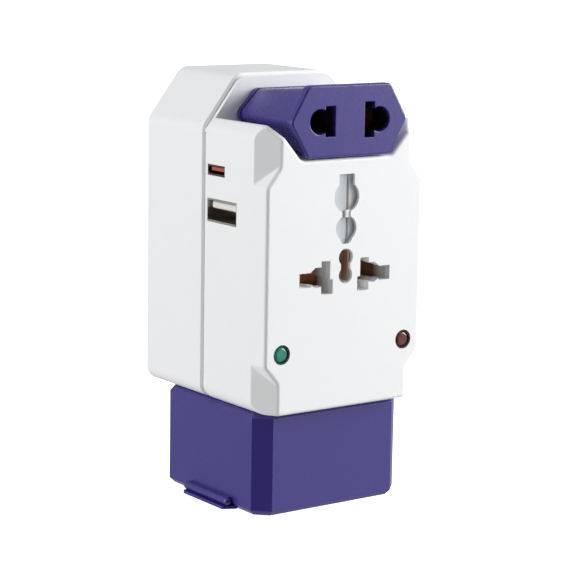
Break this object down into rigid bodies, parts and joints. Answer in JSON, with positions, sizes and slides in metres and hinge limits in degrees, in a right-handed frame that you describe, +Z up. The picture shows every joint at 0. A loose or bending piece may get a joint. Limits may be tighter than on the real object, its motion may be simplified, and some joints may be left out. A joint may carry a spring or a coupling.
{
  "type": "universal travel adapter",
  "caption": "Upright modular travel adapter: white universal-socket module with charging ports, a plug-in Euro adapter on top and a UK adapter stored below.",
  "frame": {"origin": "on the ground in the UK adapter's resting face, under the module's middle plane", "axes": "+Z up, -Y out of the socket face, +X to the right seen from the socket face"},
  "size_m": [0.053, 0.0584, 0.114],
  "materials": {
    "white_shell": "satin",
    "purple_shell": "satin",
    "grey_plastic": "matte",
    "copper": "polished",
    "plug_metal": "polished",
    "sleeve_black": "matte",
    "port_metal": "polished",
    "port_white": "matte",
    "port_orange": "satin",
    "lens_green": "polished",
    "lens_red": "polished",
    "circuit_board": "satin",
    "ferrite": "matte",
    "winding_tape": "glossy",
    "capacitor_can": "glossy",
    "screw_steel": "brushed",
    "ceramic": "matte"
  },
  "bodies": {
    "base_adapter": {"base_shell": "purple_shell", "base_bottom": "purple_shell", "base_screws": "screw_steel", "uk_pin_left": "plug_metal", "uk_pin_right": "plug_metal", "uk_pin_sleeves": "sleeve_black", "uk_pin_earth": "plug_metal", "base_contact_left": "copper", "base_contact_right": "copper", "base_earth_strap": "copper", "base_fuse": "ceramic", "base_fuse_caps": "plug_metal"},
    "main_module": {"front_housing": "white_shell", "mid_plate": "white_shell", "seam_gasket": "sleeve_black", "led_bezels": "sleeve_black", "rear_housing": "white_shell", "case_screws": "screw_steel", "socket_insert": "grey_plastic", "contact_left": "copper", "contact_right": "copper", "contact_earth": "copper", "led_green": "lens_green", "led_red": "lens_red", "led_board": "circuit_board", "usb_a_shell": "port_metal", "usb_a_tongue": "port_white", "usb_a_pins": "copper", "usb_c_shell": "port_metal", "usb_c_tongue": "port_orange", "usb_board": "circuit_board", "power_board": "circuit_board", "transformer_core": "ferrite", "transformer_coil": "winding_tape", "capacitors": "capacitor_can", "board_fuse": "ceramic", "fuse_clips": "plug_metal"},
    "euro_adapter": {"euro_head": "purple_shell", "euro_stem": "purple_shell", "euro_guide": "sleeve_black", "euro_rear_cap": "purple_shell", "euro_pin_left": "plug_metal", "euro_pin_right": "plug_metal", "euro_contact_left": "copper", "euro_contact_right": "copper"},
    "blade_carrier": {"blade_drum": "grey_plastic"},
    "left_blade": {"blade_left": "plug_metal"},
    "right_blade": {"blade_right": "plug_metal"},
    "left_earth_leaf": {"shutter_left": "grey_plastic"},
    "right_earth_leaf": {"shutter_right": "grey_plastic"}
  },
  "joints": [
    {"name": "module_lift", "type": "slide", "parent": "base_adapter", "child": "main_module", "axis": [0, 0, 1], "range_m": [0, 0.03]},
    {"name": "euro_pull", "type": "slide", "parent": "main_module", "child": "euro_adapter", "axis": [0, -1, 0], "range_m": [0, 0.03]},
    {"name": "blade_fold", "type": "hinge", "parent": "main_module", "child": "blade_carrier", "pos_m": [0, 0.0234, 0.074], "axis": [1, 0, 0], "range_deg": [0, 90]},
    {"name": "left_blade_twist", "type": "hinge", "parent": "blade_carrier", "child": "left_blade", "pos_m": [-0.00635, 0.0234, 0.0695], "axis": [0, 0, 1], "range_deg": [0, 30]},
    {"name": "right_blade_twist", "type": "hinge", "parent": "blade_carrier", "child": "right_blade", "pos_m": [0.00635, 0.0234, 0.0695], "axis": [0, 0, 1], "range_deg": [-30, 0]},
    {"name": "left_leaf_slide", "type": "slide", "parent": "main_module", "child": "left_earth_leaf", "axis": [-1, 0, 0], "range_m": [0, 0.0054], "stiffness_N_per_m": 40, "springref_m": -0.002},
    {"name": "right_leaf_slide", "type": "slide", "parent": "main_module", "child": "right_earth_leaf", "axis": [1, 0, 0], "range_m": [0, 0.0054]}
  ],
  "couplings": [
    {"joint": "right_blade_twist", "follows": "left_blade_twist", "ratio": -1},
    {"joint": "right_leaf_slide", "follows": "left_leaf_slide", "ratio": 1}
  ]
}
